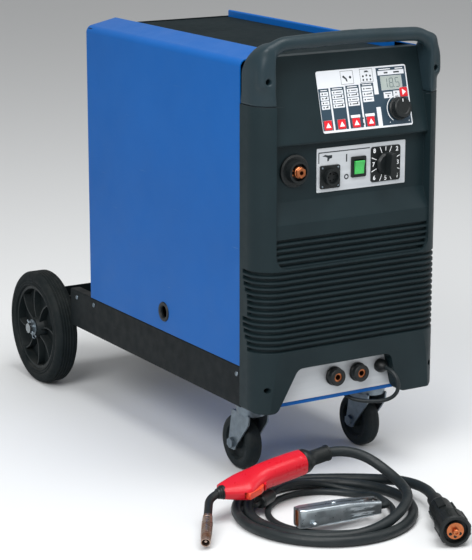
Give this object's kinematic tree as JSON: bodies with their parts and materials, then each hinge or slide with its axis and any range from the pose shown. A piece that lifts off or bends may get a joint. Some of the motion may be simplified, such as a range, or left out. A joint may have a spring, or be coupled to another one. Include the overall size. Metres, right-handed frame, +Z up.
{
  "type": "mig welder on cart",
  "caption": "Wire-feed welder in a blue steel case on a cart with rear wheels, swivel castors, louvred front, hinged wire door, torch and earth clamp on coiled leads.",
  "frame": {"origin": "middle of the footprint of the machine with its torch and clamp, on the floor", "axes": "+X to the machine's left-hand side as it faces the viewer's right, +Y towards its back, +Z up"},
  "size_m": [0.6258, 1.325, 0.7981],
  "materials": {
    "blue_paint": "semi-gloss blue powder coat",
    "black_paint": "satin black powder coat",
    "tray_paint": "satin charcoal powder coat",
    "zinc": "zinc plated steel",
    "front_plastic": "fine grained charcoal moulding",
    "handle_plastic": "satin black moulding",
    "overlay_film": "printed film, satin",
    "red_key": "red keycap",
    "black_plastic": "satin black plastic",
    "silver_plate": "satin silver sheet",
    "green_plastic": "translucent green rocker",
    "brass_metal": "turned brass and copper",
    "rubber_black": "black rubber sheath",
    "tyre_rubber": "solid black rubber tyre",
    "castor_rubber": "black rubber tread on a grey centre",
    "iron_copper": "laminated iron and varnished copper",
    "spool_plastic": "black moulded spool with copper coated wire",
    "torch_red": "red moulded grip",
    "trigger_red": "light red trigger",
    "nozzle_metal": "heat-darkened nozzle",
    "clamp_steel": "dull zinc plated pressed steel"
  },
  "bodies": {
    "machine": {"base_pan": "black_paint", "side_rails": "black_paint", "side_panel_left": "blue_paint", "side_panel_right": "blue_paint", "top_tray": "tray_paint", "rear_panel": "black_paint", "front_fascia": "front_plastic", "handle": "handle_plastic", "control_overlay": "overlay_film", "switch_plate": "silver_plate", "remote_socket": "black_plastic", "rocker_frame": "black_plastic", "selector_dial": "silver_plate", "welding_sockets": "black_plastic", "socket_cores": "brass_metal", "connector_plate": "black_paint", "cable_glands": "black_plastic", "polarity_lead": "rubber_black", "fasteners": "zinc", "partition": "zinc", "power_parts": "iron_copper", "fan_motor": "zinc", "feed_unit": "zinc", "rear_axle": "zinc", "castor_plates": "zinc", "bottle_platform": "black_paint", "bottle_cradle": "black_paint"},
    "door": {"door": "blue_paint"},
    "door_latch": {"door_latch": "black_plastic"},
    "adjust_knob": {"adjust_knob": "black_plastic"},
    "rocker": {"rocker": "green_plastic"},
    "selector_knob": {"selector_knob": "black_plastic"},
    "fan": {"fan": "black_plastic"},
    "drive_roll": {"drive_roll": "zinc"},
    "pressure_arm": {"pressure_arm": "black_plastic"},
    "wire_spool": {"wire_spool": "spool_plastic"},
    "key_1": {"key_1": "red_key"},
    "key_2": {"key_2": "red_key"},
    "key_3": {"key_3": "red_key"},
    "key_4": {"key_4": "red_key"},
    "key_5": {"key_5": "red_key"},
    "castor_left": {"castor_fork_left": "zinc"},
    "castor_wheel_left": {"castor_wheel_left": "castor_rubber"},
    "rear_wheel_left": {"rear_wheel_left": "black_plastic", "rear_tyre_left": "tyre_rubber"},
    "castor_right": {"castor_fork_right": "zinc"},
    "castor_wheel_right": {"castor_wheel_right": "castor_rubber"},
    "rear_wheel_right": {"rear_wheel_right": "black_plastic", "rear_tyre_right": "tyre_rubber"},
    "leads": {"hose_coil": "rubber_black", "torch_handle": "torch_red", "torch_neck": "rubber_black", "torch_nozzle": "nozzle_metal", "euro_plug_body": "black_plastic", "clamp_front": "clamp_steel", "earth_coil": "rubber_black", "earth_plug": "black_plastic"},
    "torch_trigger": {"torch_trigger": "trigger_red"},
    "clamp_back": {"clamp_back": "clamp_steel"},
    "euro_plug_nut": {"euro_plug_nut": "black_plastic"}
  },
  "joints": [
    {"name": "door_hinge", "type": "hinge", "parent": "machine", "child": "door", "pos_m": [0.28041, 0.19455, 0.575], "axis": [0, 0, 1], "range_deg": [0, 110]},
    {"name": "door_latch_turn", "type": "hinge", "parent": "door", "child": "door_latch", "pos_m": [0.27591, -0.21345, 0.572], "axis": [-1, 0, 0], "range_deg": [0, 90]},
    {"name": "adjust_knob_turn", "type": "hinge", "parent": "machine", "child": "adjust_knob", "pos_m": [0.18591, -0.35537, 0.65439], "axis": [0, -0.9649, 0.2626], "continuous": true},
    {"name": "rocker_tip", "type": "hinge", "parent": "machine", "child": "rocker", "pos_m": [0.10391, -0.35445, 0.561], "axis": [-1, 0, 0], "range_deg": [0, 16]},
    {"name": "selector_turn", "type": "hinge", "parent": "machine", "child": "selector_knob", "pos_m": [0.16091, -0.35445, 0.561], "axis": [0, -1, 0], "range_deg": [0, 315]},
    {"name": "fan_spin", "type": "hinge", "parent": "machine", "child": "fan", "pos_m": [0.08591, 0.21455, 0.282], "axis": [0, 1, 0], "continuous": true},
    {"name": "drive_roll_spin", "type": "hinge", "parent": "machine", "child": "drive_roll", "pos_m": [-0.02709, -0.18545, 0.551], "axis": [1, 0, 0], "continuous": true},
    {"name": "pressure_arm_lift", "type": "hinge", "parent": "machine", "child": "pressure_arm", "pos_m": [-0.02709, -0.13945, 0.581], "axis": [-1, 0, 0], "range_deg": [0, 50]},
    {"name": "wire_spool_spin", "type": "hinge", "parent": "machine", "child": "wire_spool", "pos_m": [0.00391, 0.06655, 0.572], "axis": [1, 0, 0], "continuous": true},
    {"name": "key_1_press", "type": "slide", "parent": "machine", "child": "key_1", "axis": [0, 0.9649, -0.2626], "range_m": [0, 0.0007], "stiffness_N_per_m": 800},
    {"name": "key_2_press", "type": "slide", "parent": "machine", "child": "key_2", "axis": [0, 0.9649, -0.2626], "range_m": [0, 0.0007], "stiffness_N_per_m": 800},
    {"name": "key_3_press", "type": "slide", "parent": "machine", "child": "key_3", "axis": [0, 0.9649, -0.2626], "range_m": [0, 0.0007], "stiffness_N_per_m": 800},
    {"name": "key_4_press", "type": "slide", "parent": "machine", "child": "key_4", "axis": [0, 0.9649, -0.2626], "range_m": [0, 0.0007], "stiffness_N_per_m": 800},
    {"name": "key_5_press", "type": "slide", "parent": "machine", "child": "key_5", "axis": [0, 0.9649, -0.2626], "range_m": [0, 0.0007], "stiffness_N_per_m": 800},
    {"name": "castor_left_swivel", "type": "hinge", "parent": "machine", "child": "castor_left", "pos_m": [-0.04209, -0.24545, 0.11], "axis": [0, 0, 1], "continuous": true},
    {"name": "castor_left_roll", "type": "hinge", "parent": "castor_left", "child": "castor_wheel_left", "pos_m": [-0.04209, -0.21245, 0.05], "axis": [1, 0, 0], "continuous": true},
    {"name": "rear_wheel_left_roll", "type": "hinge", "parent": "machine", "child": "rear_wheel_left", "pos_m": [-0.10509, 0.46755, 0.115], "axis": [1, 0, 0], "continuous": true},
    {"name": "castor_right_swivel", "type": "hinge", "parent": "machine", "child": "castor_right", "pos_m": [0.21391, -0.24545, 0.11], "axis": [0, 0, 1], "continuous": true},
    {"name": "castor_right_roll", "type": "hinge", "parent": "castor_right", "child": "castor_wheel_right", "pos_m": [0.21391, -0.21245, 0.05], "axis": [1, 0, 0], "continuous": true},
    {"name": "rear_wheel_right_roll", "type": "hinge", "parent": "machine", "child": "rear_wheel_right", "pos_m": [0.27691, 0.46755, 0.115], "axis": [1, 0, 0], "continuous": true},
    {"name": "leads_pull_away", "type": "slide", "parent": "machine", "child": "leads", "axis": [0, -1, 0], "range_m": [0, 0.3]},
    {"name": "trigger_squeeze", "type": "hinge", "parent": "leads", "child": "torch_trigger", "pos_m": [-0.14733, -0.44099, 0.05493], "axis": [0.1232, 0.2247, -0.9666], "range_deg": [0, 4], "stiffness_Nm_per_rad": 0.5},
    {"name": "clamp_open", "type": "hinge", "parent": "leads", "child": "clamp_back", "pos_m": [-0.07547, -0.55731, 0.029], "axis": [0, 0, -1], "range_deg": [0, 6], "stiffness_Nm_per_rad": 4, "springref_deg": -11.46},
    {"name": "plug_nut_turn", "type": "hinge", "parent": "leads", "child": "euro_plug_nut", "pos_m": [0.10846, -0.58984, 0.0276], "axis": [-0.4021, -0.9156, 0], "continuous": true}
  ]
}
